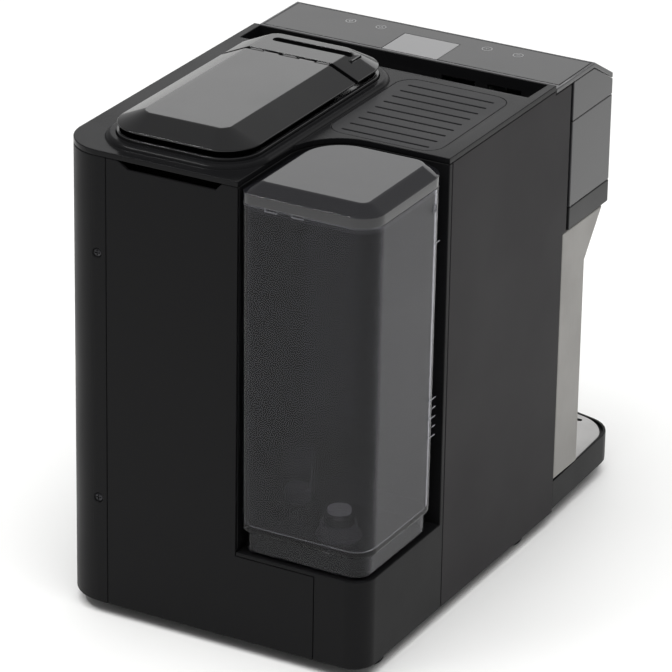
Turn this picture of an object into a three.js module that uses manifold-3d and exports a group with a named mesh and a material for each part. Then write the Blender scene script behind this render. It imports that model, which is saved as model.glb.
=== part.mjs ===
// Pod coffee machine: a countertop machine with a lidded pod bin,
// a corner water tank and a cup shelf on top.
// Millimetres, +Z up. The front faces -Y, the rear +Y; left is -X as seen from the front.
// The origin is the centre of the footprint, at the bottom of the feet.
import * as THREE from 'three';
import { mergeVertices } from 'three/addons/utils/BufferGeometryUtils.js';
import Module from 'manifold-3d';

const wasm = await Module();
wasm.setup();

// ---- driving dimensions -------------------------------------------------------------------------
const HALF_W = 120; // half the width of the casing
const REAR = 205; // rear face
const FOOT_H = 9;
const CASE_TOP = 340.7; // top edge of the side and rear panels
const COVER = { bottom: 341, top: 345 };
const WALL = 2.8; // wall of the mouldings
const GAP = 0.3; // gap between touching pieces
const SIDE_FRONT = { upper: -85, lower: -80 }; // front edge of the side panels, above and below the head
const CORNER_R = 32; // rear corner on the bin side
const SEAM_X = 81; // seams of the rear panel, each side of the middle
const HEAD = { front: -152, rear: -89, bottom: 227, band: 244, seam: 309, top: 338 };
const PANEL = { rear: -61.3, bend: -122, top: 342, lip: 325, thick: 3.6 };
const DISPLAY = { halfX: 22.3, front: -105, rear: -69.5 };
const BAY_FRONT = -117; // front face of the silver column behind the cup
const COLUMN = { bottom: 35.6, knee: 194, flare: -143, sheet: 2.5 };
const TRAY = { rear: -80.5, bottom: 11, top: 33.5, arc: 400, front: -205, side: 119.5, corner: 26 };
const LEDGE = 75; // top of the plinth under the tank
const SIDE_SEAM = 93; // seam on the left side between the tank bay moulding and the side panel
const TANK = { x0: -121.5, x1: -21.3, y0: 98.5, y1: 206.5, base: 92, seam: 331, wall: 2.2 };
const TANK_LID = { rim: 339, top: 345, slope: 10 };
const BAY = { x1: -20.3, y0: 97.5, wall: 2.2 };
const LID = { x0: -13, x1: 93, y0: -20, y1: 189, bottom: 354.5, edge: 356, top: 365, slopeX: 20,
  slopeY: 16 };
const LID_GAP = { rear: 33.2, front: 28.8 }; // gap between the bin lid and the fixed front piece
const HINGE = { y: 31, z: 362.6 };
const FLANGE_TOP = 350.5; // rim of the pod bin
const BEAD = { ridge: 348.5, foot: 8, crest: 4 };
const BIN = { x0: -10.5, x1: 90.5, y0: 31, y1: 186.5, floor: 292, wall: 2, r: 22 };
const SHELF = { x0: -107, x1: -22.5, y0: -21, y1: 94, r: 14, deep: 2.2, ledge: 5 };
const SLOTS = { count: 9, pitch: 11.85, first: -8.3, x0: -98.5, x1: -32, wide: 2 };
const GUTTER = { halfX: 114, start: -28, foot: -54, wall: -58.3, front: -60.7, floor: 332, thick: 2.4 };
const VALVE = { x: -70, y: 150 };
const DECK = { top: 159, thick: 3 };

// ---- finishes -------------------------------------------------------------------------------------
const finish = (color, roughness, metalness = 0, extra = {}) =>
  new THREE.MeshStandardMaterial({ color, roughness, metalness, ...extra });
const SATIN_BLACK = finish(0x232324, 0.45);
const SIDE_GREY = finish(0x3c3c3e, 0.5);
const GLOSS_GREY = finish(0x5f5f62, 0.25);
const PANEL_GREY = finish(0x5c5c5e, 0.3);
const SMOKED = finish(0x4c4c50, 0.1, 0, { transparent: true, opacity: 0.5 });
const LID_SMOKE = finish(0x58585b, 0.12);
const SILVER = finish(0x9a9892, 0.4, 0.8);
const STEEL = finish(0xb4b2b2, 0.3, 0.95);
const DISPLAY_GREY = finish(0x9c9c9e, 0.2);
const RUBBER = finish(0x161616, 0.85);
const WHITE_PLASTIC = finish(0xd8d6d0, 0.5);
const BRASS = finish(0xb08d4c, 0.35, 0.9);
const ALUMINIUM = finish(0xb9babb, 0.45, 0.9);
const BOARD_GREEN = finish(0x1f5a34, 0.5);
const HOSE = finish(0xdedede, 0.4, 0, { transparent: true, opacity: 0.8 });

// ---- solids ---------------------------------------------------------------------------------------
/** Turns a closed three.js geometry into a solid for joins and cuts. */
function solid(geometry) {
  const plain = geometry.clone();
  plain.deleteAttribute('normal');
  plain.deleteAttribute('uv');
  const merged = mergeVertices(plain, 1e-4);
  const vertProperties = new Float32Array(merged.attributes.position.array);
  const triVerts = new Uint32Array(merged.index.array);
  return new wasm.Manifold(new wasm.Mesh({ numProp: 3, vertProperties, triVerts }));
}

/** Turns a solid back into a three.js geometry. */
function toGeometry(body) {
  const mesh = body.getMesh();
  const geometry = new THREE.BufferGeometry();
  geometry.setAttribute('position', new THREE.BufferAttribute(mesh.vertProperties, 3));
  geometry.setIndex(new THREE.BufferAttribute(mesh.triVerts, 1));
  geometry.computeVertexNormals();
  return geometry;
}

const join = (first, ...others) => others.reduce((sum, next) => sum.add(next), first);
const cut = (first, ...others) => others.reduce((rest, next) => rest.subtract(next), first);

/** Box between two corners. */
function box(x0, x1, y0, y1, z0, z1) {
  const geometry = new THREE.BoxGeometry(x1 - x0, y1 - y0, z1 - z0);
  geometry.translate((x0 + x1) / 2, (y0 + y1) / 2, (z0 + z1) / 2);
  return solid(geometry);
}

/** Outline from [x, y, corner radius] points, each corner rounded by an arc. */
function outline(points) {
  const shape = new THREE.Shape();
  const count = points.length;
  points.forEach(([x, y, radius = 0], i) => {
    const [px, py] = points[(i + count - 1) % count];
    const [nx, ny] = points[(i + 1) % count];
    if (radius === 0) {
      if (i === 0) shape.moveTo(x, y);
      else shape.lineTo(x, y);
      return;
    }
    const back = new THREE.Vector2(px - x, py - y).normalize();
    const ahead = new THREE.Vector2(nx - x, ny - y).normalize();
    const half = Math.acos(THREE.MathUtils.clamp(back.dot(ahead), -1, 1)) / 2;
    const reach = radius / Math.tan(half);
    const bisector = back.clone().add(ahead).normalize();
    const centre = bisector.multiplyScalar(radius / Math.sin(half)).add(new THREE.Vector2(x, y));
    const start = back.multiplyScalar(reach).add(new THREE.Vector2(x, y));
    const end = ahead.multiplyScalar(reach).add(new THREE.Vector2(x, y));
    const a0 = Math.atan2(start.y - centre.y, start.x - centre.x);
    const a1 = Math.atan2(end.y - centre.y, end.x - centre.x);
    const turn = (px - x) * (ny - y) - (py - y) * (nx - x);
    if (i === 0) shape.moveTo(start.x, start.y);
    else shape.lineTo(start.x, start.y);
    shape.absarc(centre.x, centre.y, radius, a0, a1, turn > 0);
  });
  shape.closePath();
  return shape;
}

/** Rounded rectangle. */
const rounded = (x0, x1, y0, y1, r) => outline([[x0, y0, r], [x1, y0, r], [x1, y1, r], [x0, y1, r]]);

/** Upright prism over a plan outline. */
function prism(shape, z0, z1, curveSegments = 3) {
  const geometry = new THREE.ExtrudeGeometry(shape, { depth: z1 - z0, bevelEnabled: false, curveSegments });
  geometry.translate(0, 0, z0);
  return solid(geometry);
}

/** Prism along X over an outline drawn in (y, z). */
function prismX(shape, x0, x1, curveSegments = 3) {
  const geometry = new THREE.ExtrudeGeometry(shape, { depth: x1 - x0, bevelEnabled: false, curveSegments });
  const turn = new THREE.Matrix4().makeBasis(
    new THREE.Vector3(0, 1, 0), new THREE.Vector3(0, 0, 1), new THREE.Vector3(1, 0, 0));
  geometry.applyMatrix4(turn);
  geometry.translate(x0, 0, 0);
  return solid(geometry);
}

/** Cylinder or cone along Z, between two heights. */
function rod(x, y, z0, z1, radius, radiusTop = radius, sides = 24) {
  const geometry = new THREE.CylinderGeometry(radiusTop, radius, z1 - z0, sides);
  geometry.rotateX(Math.PI / 2);
  geometry.translate(x, y, (z0 + z1) / 2);
  return solid(geometry);
}

/** Cylinder along Y. */
function rodY(x, z, y0, y1, radius, sides = 16) {
  const geometry = new THREE.CylinderGeometry(radius, radius, y1 - y0, sides);
  geometry.translate(x, (y0 + y1) / 2, z);
  return solid(geometry);
}

/** Cylinder along X. */
function rodX(y, z, x0, x1, radius, sides = 12) {
  const geometry = new THREE.CylinderGeometry(radius, radius, x1 - x0, sides);
  geometry.rotateZ(Math.PI / 2);
  geometry.translate((x0 + x1) / 2, y, z);
  return solid(geometry);
}

/** Outline grown outwards into a sloped or rounded skirt: its widest contour is at z0. */
function sloped(shape, z0, height, spread, curveSegments = 4, bevelSegments = 1) {
  const options = {
    depth: 0.5, bevelEnabled: true, bevelThickness: height, bevelSize: spread, bevelSegments, curveSegments,
  };
  const geometry = new THREE.ExtrudeGeometry(shape, options);
  geometry.translate(0, 0, z0 - 0.5);
  const body = solid(geometry);
  const far = 1000;
  return body.intersect(box(-far, far, -far, far, z0, z0 + height + 1));
}

/** Hose along a smooth curve through the given points. */
function hose(points, radius) {
  const curve = new THREE.CatmullRomCurve3(points.map((p) => new THREE.Vector3(...p)));
  const ring = new THREE.Shape().absarc(0, 0, radius, 0, Math.PI * 2, false);
  const options = { steps: 24, extrudePath: curve, bevelEnabled: false, curveSegments: 4 };
  return solid(new THREE.ExtrudeGeometry(ring, options));
}

const machine = new THREE.Group();

/** Adds a named piece to the machine. */
function add(name, body, material) {
  const mesh = new THREE.Mesh(toGeometry(body), material.clone());
  mesh.name = name;
  machine.add(mesh);
}

// ---- plan outlines shared by neighbours -----------------------------------------------------------
/** Tank plan, shrunk by an inset. */
function tankOutline(inset) {
  const { x0, x1, y0, y1 } = TANK;
  return outline([
    [x0 + inset, y0 + inset, 21.5 - inset],
    [x1 - inset, y0 + inset, 38.5 - inset],
    [x1 - inset, y1 - inset, 9 - inset / 2],
    [x0 + inset, y1 - inset, 17 - inset],
  ]);
}

/** Open corner bay around the tank, shrunk by an offset away from the tank. */
function bayOutline(offset) {
  const far = 60;
  return outline([
    [-HALF_W - far, BAY.y0 - offset, 0],
    [BAY.x1 + offset, BAY.y0 - offset, 39.5 + offset],
    [BAY.x1 + offset, REAR + far, 0],
    [-HALF_W - far, REAR + far, 0],
  ]);
}

/** Outline of the bin lid, grown by an offset. */
const lidOutline = (offset) =>
  rounded(LID.x0 - offset, LID.x1 + offset, LID.y0 - offset, LID.y1 + offset, 26 + offset);

/** Plan of the drip tray: sides that taper in and a bowed front. */
function trayOutline(inset, rear) {
  const halfFront = TRAY.side - 3.5 - inset;
  const bow = (x) => TRAY.front + inset + TRAY.arc - Math.sqrt(TRAY.arc ** 2 - x ** 2);
  const front = [];
  for (let x = 80; x >= -80; x -= 20) front.push([x, bow(x), 0]);
  return outline([
    [-TRAY.side + inset, rear, 0],
    [-halfFront, bow(halfFront), TRAY.corner - inset],
    ...front.reverse(),
    [halfFront, bow(halfFront), TRAY.corner - inset],
    [TRAY.side - inset, rear, 0],
  ]);
}

// ---- casing ---------------------------------------------------------------------------------------
function feet() {
  const places = { front_left: [-98, -40], front_right: [98, -40], rear_left: [-98, 168],
    rear_right: [98, 168] };
  for (const [place, [x, y]] of Object.entries(places)) {
    const pad = rod(x, y, 0, FOOT_H - GAP, 16, 17);
    add(`foot_${place}`, cut(pad, rod(x, y, -1, 1.5, 10)), RUBBER);
  }
}

function basePlate() {
  const plan = outline([
    [-116.8, -77.2, 4], [116.8, -77.2, 4], [116.8, REAR - 3.6, 30], [-116.8, REAR - 3.6, 14],
  ]);
  add('base_plate', cut(prism(plan, FOOT_H, 13), rod(64, 176, 0, 20, 11.4)), SATIN_BLACK);
  const gland = join(rod(64, 176, 6.4, 8.7, 14), rod(64, 176, 8, 18, 11));
  add('cord_gland', cut(gland, rod(64, 176, 0, 30, 3.6)), RUBBER);
}

function sidePanels() {
  const profile = outline([
    [SIDE_FRONT.lower, FOOT_H], [SIDE_SEAM - GAP, FOOT_H], [SIDE_SEAM - GAP, CASE_TOP],
    [PANEL.rear + 0.6, CASE_TOP], [PANEL.rear + 0.6, HEAD.top], [SIDE_FRONT.upper, HEAD.top],
    [SIDE_FRONT.upper, HEAD.bottom], [SIDE_FRONT.lower, HEAD.bottom],
  ]);
  const left = join(
    prismX(profile, -HALF_W, -HALF_W + WALL),
    box(-HALF_W, -112, SIDE_FRONT.lower, SIDE_FRONT.lower + 2.4, FOOT_H, HEAD.bottom),
    box(-HALF_W, -112, SIDE_FRONT.upper, SIDE_FRONT.upper + 2.4, HEAD.bottom, HEAD.top));
  add('side_panel_left', left, SIDE_GREY);

  const skin = (inset) => outline([
    [SEAM_X, 150], [SEAM_X, REAR - inset], [HALF_W - inset, REAR - inset, CORNER_R - inset],
    [HALF_W - inset, -300], [60, -300],
  ].reverse());
  const shell = cut(prism(skin(0), FOOT_H, CASE_TOP, 12), prism(skin(WALL), 0, 400, 12),
    box(0, 200, -301, SIDE_FRONT.lower, 0, HEAD.bottom), box(0, 200, -301, SIDE_FRONT.upper, 200, 400),
    box(100, 200, -301, PANEL.rear + 0.6, HEAD.top, 400));
  const right = join(shell,
    box(112, HALF_W, SIDE_FRONT.lower, SIDE_FRONT.lower + 2.4, FOOT_H, HEAD.bottom),
    box(112, HALF_W, SIDE_FRONT.upper, SIDE_FRONT.upper + 2.4, HEAD.bottom, HEAD.top));
  let drilled = right;
  for (const z of CASE_SCREWS) {
    drilled = cut(drilled, rodY(88, z, 200, 210, 1.9, 12), rodY(88, z, 203.6, 210, 3.5));
  }
  add('side_panel_right', drilled, SATIN_BLACK);
}

const CASE_SCREWS = [271, 89];

function rearPanel() {
  const profile = [
    [-SEAM_X, FOOT_H], [SEAM_X - GAP, FOOT_H], [SEAM_X - GAP, CASE_TOP], [71.5, CASE_TOP], [64, 335.5],
    [-3, 335.5], [-8, CASE_TOP], [BAY.x1, CASE_TOP], [BAY.x1, LEDGE - WALL - GAP],
    [-SEAM_X, LEDGE - WALL - GAP],
  ];
  const geometry = new THREE.ExtrudeGeometry(outline(profile), { depth: WALL, bevelEnabled: false });
  geometry.rotateX(Math.PI / 2);
  geometry.translate(0, REAR, 0);
  const flange = join(box(76, SEAM_X - GAP, 198.8, 203, 14, 330), box(76, 91.5, 198.8, 201.2, 14, 330));
  let panel = join(solid(geometry), flange);
  for (const z of CASE_SCREWS) panel = cut(panel, rodY(88, z, 190, 210, 1.9, 12));
  add('rear_panel', panel, SATIN_BLACK);
  CASE_SCREWS.forEach((z, i) => {
    const screw = join(rodY(88, z, 203.9, REAR - 0.4, 3.1), rodY(88, z, 192, 204.2, 1.5, 8));
    const slot = box(85.8, 90.2, REAR - 1.4, REAR, z - 0.5, z + 0.5);
    const cross = box(87.5, 88.5, REAR - 1.4, REAR, z - 2.2, z + 2.2);
    add(`case_screw_${i + 1}`, cut(screw, slot, cross), STEEL);
  });
}

function tankBay() {
  const corner = (inset, x1) => outline([
    [x1, 60], [-HALF_W + inset, 60], [-HALF_W + inset, REAR - inset, 16 - inset], [x1, REAR - inset],
  ].reverse());
  const plinth = cut(prism(corner(0, -SEAM_X - GAP), FOOT_H, LEDGE, 8),
    prism(corner(WALL, 0), 0, LEDGE - WALL, 8),
    box(-200, 0, 0, SIDE_SEAM, 0, 100));
  const ledge = cut(prism(corner(0, BAY.x1 - GAP), LEDGE - WALL, LEDGE, 8),
    box(-200, 0, 0, SIDE_SEAM, 0, 100));
  const bayWall = cut(
    prism(bayOutline(BAY.wall), LEDGE - 1, CASE_TOP, 12), prism(bayOutline(0), 0, 400, 12),
    box(-300, -HALF_W, 0, 400, 0, 400), box(-200, 100, REAR - WALL - GAP, 400, 0, 400));
  const edge = box(-HALF_W, -HALF_W + WALL, SIDE_SEAM, BAY.y0, LEDGE - 1, CASE_TOP);
  const socket = rod(VALVE.x, VALVE.y, 60, 80, 13.4);
  add('tank_bay', cut(join(plinth, ledge, bayWall, edge), socket), SATIN_BLACK);

  const coupling = join(rod(VALVE.x, VALVE.y, 62, 86, 13), rod(VALVE.x, VALVE.y, LEDGE + GAP, 77.4, 16),
    rod(VALVE.x, VALVE.y, 48, 63, 4.5, 4.5, 12));
  const bowl = rod(VALVE.x, VALVE.y, 69, 90, 11);
  const pin = rod(VALVE.x, VALVE.y, 68, 80, 1.5, 1.5, 8);
  add('tank_coupling', join(cut(coupling, bowl, rod(VALVE.x + 6, VALVE.y, 40, 80, 1.5, 1.5, 8)), pin),
    WHITE_PLASTIC);
  const sensor = join(box(-17.8, -10, 140, 160, 84, 112), box(-12, -6, 146, 154, 92, 100));
  add('level_sensor', sensor, WHITE_PLASTIC);
}

// ---- water tank -----------------------------------------------------------------------------------
function waterTank() {
  const floor = TANK.base + 3;
  const wall = cut(prism(tankOutline(0), TANK.base, TANK.seam), prism(tankOutline(TANK.wall), floor, 400));
  const skirt = cut(prism(tankOutline(1.6), LEDGE + 1.6, TANK.base + 1),
    prism(tankOutline(1.6 + TANK.wall), 0, TANK.base));
  const outlet = join(rod(VALVE.x, VALVE.y, 78, floor, 10), rod(VALVE.x, VALVE.y, TANK.base, floor, 13));
  const cage = cut(rod(-38, 150, floor - 1, 140, 12), rod(-38, 150, floor, 160, 10),
    box(-60, -20, 148, 152, 104, 134));
  const groove = cut(rod(VALVE.x, VALVE.y, 80.2, 83.8, 12), rod(VALVE.x, VALVE.y, 70, 90, 8.8));
  const tank = cut(join(wall, skirt, outlet, cage), rod(VALVE.x, VALVE.y, 70, 120, 4.2),
    rod(VALVE.x, VALVE.y, 70, 90, 7.5), groove);
  add('water_tank', tank, SMOKED);

  const plunger = join(rod(VALVE.x, VALVE.y, 80.6, 99, 3.2, 3.2, 12),
    rod(VALVE.x, VALVE.y, floor + GAP, 98.4, 8, 8, 16));
  add('tank_valve', plunger, WHITE_PLASTIC);
  const seal = cut(rod(VALVE.x, VALVE.y, 80.5, 83.5, 10.7), rod(VALVE.x, VALVE.y, 70, 90, 9.1));
  add('tank_seal', seal, RUBBER);

  add('tank_float', rod(-38, 150, floor + 0.6, floor + 12, 9.2), WHITE_PLASTIC);
}

function tankLid() {
  const { rim, top, slope } = TANK_LID;
  const dome = sloped(tankOutline(slope), rim, top - rim - 0.01, slope);
  const band = prism(tankOutline(0), TANK.seam + GAP, rim);
  const hollow = join(
    prism(tankOutline(2), 300, rim - 0.6), sloped(tankOutline(slope + 1.2), rim - 0.7, top - rim - 1.3,
    slope - 1));
  const spigot = cut(prism(tankOutline(TANK.wall + 0.5), TANK.seam - 5, rim + 0.6),
    prism(tankOutline(TANK.wall + 2.3), 300, rim + 3));
  add('tank_lid', join(cut(join(dome, band), hollow), spigot), LID_SMOKE);
}

// ---- top cover, pod bin and lid --------------------------------------------------------------------
/** Height of the gutter ramp, a smooth step down from the shelf to the gutter floor. */
function rampProfile(drop, steps = 10) {
  const points = [];
  for (let i = 0; i <= steps; i += 1) {
    const t = i / steps;
    const y = GUTTER.start + drop * 0.35 + (GUTTER.foot - GUTTER.start) * t;
    const z = COVER.top - drop + (GUTTER.floor - COVER.top) * (t * t * (3 - 2 * t));
    points.push([y, z]);
  }
  return points;
}

function topCover() {
  const plan = outline([
    [-HALF_W, GUTTER.front], [HALF_W, GUTTER.front], [HALF_W, REAR, CORNER_R], [-HALF_W, REAR],
  ]);
  const slab = cut(prism(plan, COVER.bottom, COVER.top, 12), prism(bayOutline(0), 300, 400, 12),
    box(-GUTTER.halfX, GUTTER.halfX, GUTTER.front - 1, GUTTER.start, 300, 400));
  const rise = BEAD.ridge - COVER.top + 0.5;
  const bead = sloped(lidOutline(BEAD.crest), COVER.top - 0.5, rise, BEAD.foot - BEAD.crest, 10, 5);
  const { halfX, start, wall, front, floor, thick } = GUTTER;
  const outside = outline([
    [front, floor - thick], [front, COVER.bottom], [front, COVER.top], [start + 0.5, COVER.top],
    ...rampProfile(thick),
  ].reverse());
  const inside = outline([[wall, floor], [wall, 400], [start, 400], ...rampProfile(0)].reverse());
  const trough = cut(prismX(outside, -halfX - thick, halfX + thick), prismX(inside, -halfX, halfX));
  const drains = [-81, -45].map((x) => box(x - 13, x + 13, -62, -50, floor - 5, floor + 4));
  const recess = prism(rounded(SHELF.x0, SHELF.x1, SHELF.y0, SHELF.y1, SHELF.r), COVER.top - SHELF.deep,
    400);
  const { ledge } = SHELF;
  const window = prism(rounded(SHELF.x0 + ledge, SHELF.x1 - ledge, SHELF.y0 + ledge, SHELF.y1 - ledge, 9),
    300, 400);
  const opening = prism(lidOutline(0.8), 300, 400, 10);
  const cover = cut(join(slab, bead, trough), opening, recess, window, ...drains);
  add('top_cover', cover, SATIN_BLACK);

  const plate = prism(
    rounded(SHELF.x0 + GAP, SHELF.x1 - GAP, SHELF.y0 + GAP, SHELF.y1 - GAP, SHELF.r - GAP),
    COVER.top - SHELF.deep + GAP, COVER.top);
  let grille = plate;
  for (let i = 0; i < SLOTS.count; i += 1) {
    const y = SLOTS.first + i * SLOTS.pitch;
    grille = cut(grille, prism(rounded(SLOTS.x0, SLOTS.x1, y - 1, y + 1, SLOTS.wide / 2 - 0.01), 300, 400,
    1));
  }
  add('cup_shelf_grille', grille, finish(0x5c5c5c, 0.55));
}

function podBin() {
  const rim = cut(prism(lidOutline(0.4), 338, FLANGE_TOP, 8), prism(lidOutline(-2.4), 300, 400, 8));
  const deck = cut(prism(lidOutline(-1), 338, 341, 8), box(-100, 200, BIN.y0 - GAP, 300, 300, 400));
  const { x0, x1, y0, y1, floor, wall, r } = BIN;
  const clear = prism(rounded(x0 - GAP, x1 + GAP, y0 - GAP, y1 + GAP, r + GAP), 300, 400, 8);
  add('bin_rim', cut(join(rim, deck), clear), LID_SMOKE);
  const tub = prism(rounded(x0, x1, y0, y1, r), floor, 343, 8);
  const cavity = prism(rounded(x0 + wall, x1 - wall, y0 + wall, y1 - wall, r - wall), floor + wall, 400, 8);
  add('pod_bin', cut(tub, cavity), LID_SMOKE);
}

/** The whole sloped lid, before it is split: outer skin, or the hollow under it. */
function lidBody(inset) {
  const { x0, x1, y0, y1, slopeX, slopeY, edge, top, bottom } = LID;
  const stretch = slopeY / slopeX;
  const middle = (y0 + y1) / 2;
  const halfTop = (y1 - y0) / 2 - slopeY;
  const halfTopX = (x1 - x0) / 2 - slopeX;
  const shape = rounded(-halfTopX, halfTopX, -halfTop / stretch, halfTop / stretch, 8);
  const spread = slopeX - inset;
  const options = {
    depth: 0.5, bevelEnabled: true, bevelThickness: top - edge, bevelSize: spread, bevelSegments: 1,
    curveSegments: 3,
  };
  const geometry = new THREE.ExtrudeGeometry(shape, options);
  geometry.scale(1, stretch, 1);
  geometry.translate((x0 + x1) / 2, middle, edge - 0.5 - inset);
  const far = 1000;
  const roof = solid(geometry).intersect(box(-far, far, -far, far, edge - inset, 400));
  const skirt = solid(geometry).intersect(box(-far, far, -far, far, edge - inset - 0.5, edge - inset));
  const squat = new THREE.ExtrudeGeometry(shape, { ...options, depth: edge - bottom + 0.5 });
  squat.scale(1, stretch, 1);
  squat.translate((x0 + x1) / 2, middle, bottom - 0.5 - inset);
  const band = solid(squat).intersect(box(-far, far, -far, far, bottom - (inset > 0 ? 3 : 0),
    edge - inset));
  return join(roof, skirt, band);
}

function binLid() {
  const solidLid = lidBody(0);
  const shell = cut(solidLid, lidBody(2.4));
  const wide = [-100, 200];
  const knuckle = (x, half, reach) => join(
    rodX(HINGE.y, HINGE.z, x - half, x + half, 1.9, 12),
    box(x - half, x + half, Math.min(HINGE.y, reach), Math.max(HINGE.y, reach), HINGE.z - 1.9,
    HINGE.z + 1.9));
  const bore = rodX(HINGE.y, HINGE.z, ...wide, 1.3, 12);
  const topOnly = (body) => body.intersect(box(7, 73, -100, 300, 300, 400));

  const frontWall = solidLid.intersect(box(...wide, LID_GAP.rear, LID_GAP.rear + 2.4, 300, 400));
  const main = join(shell.intersect(box(...wide, LID_GAP.rear, 300, 300, 400)), frontWall);
  const lidLugs = [26, 54].map((x) => topOnly(knuckle(x, 6, LID_GAP.rear + 2)));
  add('bin_lid', cut(join(main, ...lidLugs), bore), LID_SMOKE);

  const backWall = solidLid.intersect(box(...wide, LID_GAP.front - 2.4, LID_GAP.front, 300, 400));
  const nose = join(shell.intersect(box(...wide, -100, LID_GAP.front, 300, 400)), backWall);
  const pad = box(0, 70, 0, 14, 357, 363);
  const groove = prism(rounded(4, 66, 3.5, 10.5, 3.4), 360.6, 400, 2);
  const fixedLugs = [14, 40, 66].map((x) => topOnly(knuckle(x, 5, LID_GAP.front - 2)));
  add('bin_front_cover', cut(join(nose, pad, ...fixedLugs), groove, bore), LID_SMOKE);

  add('lid_hinge_rod', rodX(HINGE.y, HINGE.z, 10, 70, 1, 12), STEEL);
}

// ---- head, panel and spout ------------------------------------------------------------------------
/** Slice of the head between two heights, open to the rear. */
function headSlice(z0, z1, withFloor) {
  const profile = (inset, rear) => outline([
    [rear, HEAD.bottom - 20], [HEAD.front + inset, HEAD.bottom - 20],
    [HEAD.front + inset, PANEL.lip - 4.4 - inset / 2],
    [PANEL.bend + 1 + inset, HEAD.top], [rear, HEAD.top],
  ].reverse());
  const inner = betweenWalls(profile(WALL, 0));
  const ring = cut(prismX(profile(0, HEAD.rear), -HALF_W, HALF_W),
    inner).intersect(box(-200, 200, -300, 0, z0, z1));
  if (!withFloor) return ring;
  const floor = prismX(profile(0, HEAD.rear), -HALF_W,
    HALF_W).intersect(box(-200, 200, -300, 0, z0, z0 + WALL));
  return join(ring, floor);
}
const betweenWalls = (shape) => prismX(shape, -HALF_W + WALL, HALF_W - WALL).add(
  prismX(shape, -HALF_W + WALL, HALF_W - WALL).translate([0, 0, 10]));

function head() {
  const funnelHole = rod(0, -124, 200, 240, 9);
  const hangers = box(-8, 8, -151, -140, 200, 226);
  const band = cut(headSlice(HEAD.bottom, HEAD.band - 0.4, true), funnelHole, hangers);
  add('head_lower_band', band, SIDE_GREY);
  const drawerWindow = box(-37, 37, -160, -140, 260, 304);
  add('head_body', cut(headSlice(HEAD.band, HEAD.seam - 0.4, false), drawerWindow), GLOSS_GREY);
  add('head_upper_frame', headSlice(HEAD.seam, HEAD.top, false), GLOSS_GREY);
}

function controlPanel() {
  const { rear, bend, top, lip, thick } = PANEL;
  const profile = outline([
    [rear, top - thick], [bend + 0.9, top - thick], [HEAD.front, lip - 4.1], [HEAD.front, lip],
    [bend, top], [rear, top],
  ]);
  const glassPlan = (gap) => outline([
    [-117.5 + gap, DISPLAY.rear - gap], [-117.5 + gap, bend + 2 + gap], [117.5 - gap, bend + 2 + gap],
    [117.5 - gap, DISPLAY.rear - gap],
  ]);
  add('control_panel', cut(prismX(profile, -HALF_W, HALF_W), prism(glassPlan(0), top - 1.7, 400)),
    PANEL_GREY);
  const window = box(-DISPLAY.halfX, DISPLAY.halfX, DISPLAY.front, 0, 300, 400);
  add('touch_panel', cut(prism(glassPlan(0.25), top - 1.4, top), window), PANEL_GREY);
  add('display', box(-DISPLAY.halfX + GAP, DISPLAY.halfX - GAP, DISPLAY.front + GAP, DISPLAY.rear - GAP,
    top - 1.4, top),
    DISPLAY_GREY);
  const board = join(box(-40, 40, -118, -68, 332.5, 334.1), box(-24, 24, -104, -70, 334, 337.8));
  add('touch_board', board, BOARD_GREEN);
}

function bayColumn() {
  const { bottom, knee, flare, sheet } = COLUMN;
  const rear = SIDE_FRONT.lower - GAP;
  const top = HEAD.bottom - 0.4;
  const outer = prismX(outline([
    [rear, bottom], [BAY_FRONT, bottom], [BAY_FRONT, knee], [flare, top], [rear, top],
  ].reverse()), -HALF_W, HALF_W);
  const inner = prismX(outline([
    [0, 0], [BAY_FRONT + sheet, 0], [BAY_FRONT + sheet, knee - 1], [flare + 3, top + 1], [0, top + 1],
  ].reverse()), -HALF_W + sheet, HALF_W - sheet);
  const window = box(-56, 56, -160, -100, 0, 122);
  add('bay_column', cut(outer, inner, window), SILVER);
}

function spout() {
  const housing = cut(box(-34, 34, -184, HEAD.front - GAP, 200, 258),
    box(-31.4, 31.4, -181.4, -155, 190, 255));
  const bevelled = housing.intersect(prism(outline([
    [-34, -184, 8], [34, -184, 8], [34, -100], [-34, -100],
  ]), 100, 300));
  add('spout_housing', bevelled, SATIN_BLACK);
  const block = cut(box(-28, 28, -178.5, -158, 184, 250), box(-24, 24, -175, -161.5, 196, 260));
  const nozzles = [-15, 15].map((x) => rod(x, -168.2, 172, 186, 4.5, 7, 16));
  const bores = [-15, 15].map((x) => rod(x, -168.2, 160, 200, 2.4, 2.4, 10));
  add('coffee_spout', cut(join(block, ...nozzles), ...bores), SATIN_BLACK);
}

function podUnit() {
  const front = box(-36.4, 36.4, HEAD.front, -146.5, 260.6, 303.4);
  const arm = box(-27, 27, -148, -94, 264, 268);
  const cup = rod(0, -122, 262, 286, 26, 26, 32);
  const grip = box(-20, 20, -156, -149, 263, 268);
  const well = join(rod(0, -122, 266, 300, 22, 23.5, 32), rod(0, -122, 250, 270, 3, 3, 12));
  add('pod_drawer', cut(join(front, arm, cup), grip, well), GLOSS_GREY);

  const funnel = cut(join(rod(0, -122, 244, 258, 8, 25), rod(0, -122, 232, 246, 7, 7)),
    rod(0, -122, 246, 259, 6, 23),
    rod(0, -122, 220, 250, 4.6, 4.6, 16));
  add('coffee_funnel', funnel, WHITE_PLASTIC);
  const piston = join(rod(0, -122, 289, 299, 20, 21), rod(0, -122, 298, 320, 6));
  add('brew_piston', cut(piston, rod(0, -122, 280, 310, 2, 2, 8)), STEEL);
  const bridge = join(box(-44, 44, -136, -108, 310, 318), box(-44, -36, -136, -108, 230.2, 312),
    box(36, 44, -136, -108, 230.2, 312),
    box(-37, -29, -136, -108, 256, 261), box(29, 37, -136, -108, 256, 261));
  add('brew_bridge', cut(bridge, rod(0, -122, 300, 330, 6.5)), ALUMINIUM);
}

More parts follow.
